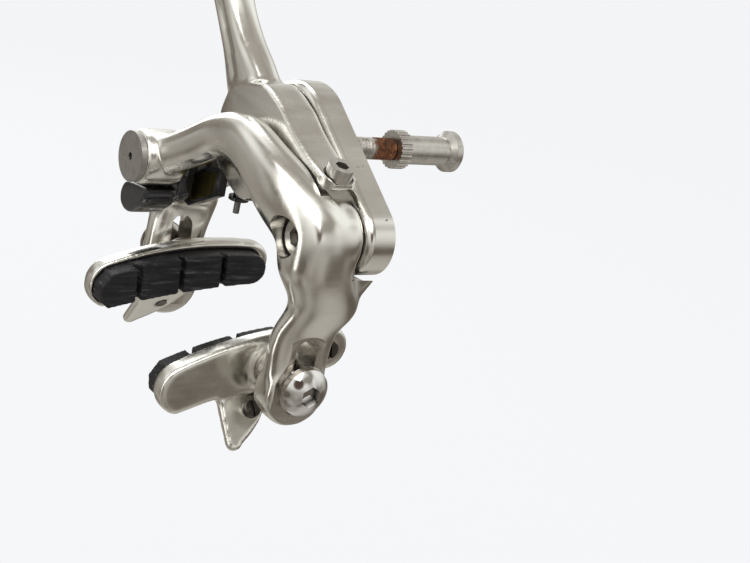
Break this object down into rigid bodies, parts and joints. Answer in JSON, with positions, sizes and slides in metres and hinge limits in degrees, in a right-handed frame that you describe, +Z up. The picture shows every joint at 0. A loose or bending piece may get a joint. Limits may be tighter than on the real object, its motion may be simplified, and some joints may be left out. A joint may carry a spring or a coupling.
{
  "type": "rim brake caliper",
  "caption": "Dual-pivot rim brake caliper: curved C-arm and Y-arm on a bracket plate, mounting stud with sleeve nut, quick release and adjustable brake blocks.",
  "frame": {"origin": "centre of the bracket plate's rear seat, on the centre bolt's axis", "axes": "+Y rearward along the mounting stud, +Z up towards the cable adjuster, +X towards the arm with the centring screw"},
  "size_m": [0.086, 0.0915, 0.1316],
  "materials": {
    "polished_aluminium": "polished, fine scratches",
    "dull_aluminium": "stained",
    "rusty_steel": "rusted thread",
    "dark_steel": "oily",
    "steel": "worn zinc",
    "spring_steel": "satin",
    "bronze": "plain",
    "brass": "olive, worn",
    "grey_cast": "matte, scratched",
    "black_plastic": "glossy black",
    "block_rubber": "matte, lengthwise wear",
    "chrome": "mirror"
  },
  "bodies": {
    "bracket": {"bracket_plate": "polished_aluminium", "centre_bolt": "rusty_steel", "pivot_nut": "dark_steel", "nut_washer": "steel", "rear_thrust_washer": "bronze", "serrated_washer": "steel", "sleeve_nut": "steel", "side_pivot_bolt": "steel", "side_thrust_washer": "bronze"},
    "y_arm": {"y_arm": "polished_aluminium", "y_arm_bush": "bronze", "slide_carrier": "black_plastic", "slide_insert": "brass", "return_spring": "spring_steel", "spring_sleeve": "black_plastic"},
    "c_arm": {"c_arm": "polished_aluminium", "c_arm_bush": "bronze"},
    "quick_release": {"release_cam": "grey_cast", "release_lever": "black_plastic", "anchor_bolt": "steel", "anchor_washer": "steel"},
    "adjuster_collar": {"adjuster_collar": "black_plastic"},
    "adjuster_barrel": {"adjuster_barrel": "steel"},
    "centring_screw": {"centring_screw": "steel"},
    "near_pad_bolt": {"near_pad_bolt": "chrome", "near_inner_washers": "dull_aluminium", "near_outer_washers": "dull_aluminium"},
    "near_pad": {"near_pad_holder": "polished_aluminium", "near_pad_rubber": "block_rubber", "near_pad_screws": "dark_steel"},
    "far_pad_bolt": {"far_pad_bolt": "chrome", "far_inner_washers": "dull_aluminium", "far_outer_washers": "dull_aluminium"},
    "far_pad": {"far_pad_holder": "polished_aluminium", "far_pad_rubber": "block_rubber", "far_pad_screws": "dark_steel"}
  },
  "joints": [
    {"name": "y_arm_pivot", "type": "hinge", "parent": "bracket", "child": "y_arm", "pos_m": [0, 0, 0], "axis": [0, 1, 0], "range_deg": [-10, 0], "stiffness_Nm_per_rad": 0.5, "springref_deg": 28.65},
    {"name": "c_arm_pivot", "type": "hinge", "parent": "bracket", "child": "c_arm", "pos_m": [0.033, 0, -0.012], "axis": [0, 1, 0], "range_deg": [0, 10.8], "stiffness_Nm_per_rad": 0.5, "springref_deg": -28.65},
    {"name": "quick_release_lever", "type": "hinge", "parent": "c_arm", "child": "quick_release", "pos_m": [-0.0244, 0, -0.0126], "axis": [0, 1, 0], "range_deg": [0, 60]},
    {"name": "adjuster_collar_turn", "type": "hinge", "parent": "y_arm", "child": "adjuster_collar", "pos_m": [-0.035, -0.014, 0.044], "axis": [0, 0, 1], "range_deg": [0, 1800]},
    {"name": "adjuster_barrel_slide", "type": "slide", "parent": "y_arm", "child": "adjuster_barrel", "axis": [0, 0, 1], "range_m": [0, 0.005]},
    {"name": "centring_screw_turn", "type": "hinge", "parent": "y_arm", "child": "centring_screw", "pos_m": [0.0323, -0.0138, 0.0026], "axis": [0.2419, 0, 0.9703], "range_deg": [-180, 180]},
    {"name": "near_pad_height", "type": "slide", "parent": "c_arm", "child": "near_pad_bolt", "axis": [0, 0, 1], "range_m": [-0.004, 0.007]},
    {"name": "near_pad_tilt", "type": "hinge", "parent": "near_pad_bolt", "child": "near_pad", "pos_m": [0.024, -0.015, -0.0496], "axis": [1, 0, 0], "range_deg": [-12, 8]},
    {"name": "far_pad_height", "type": "slide", "parent": "y_arm", "child": "far_pad_bolt", "axis": [0, 0, 1], "range_m": [-0.011, 0.002]},
    {"name": "far_pad_tilt", "type": "hinge", "parent": "far_pad_bolt", "child": "far_pad", "pos_m": [-0.024, -0.015, -0.0424], "axis": [1, 0, 0], "range_deg": [-12, 8]}
  ],
  "couplings": [
    {"joint": "y_arm_pivot", "follows": "c_arm_pivot", "ratio": -0.925},
    {"joint": "adjuster_collar_turn", "follows": "adjuster_barrel_slide", "rad_per_m": 6283.2}
  ]
}
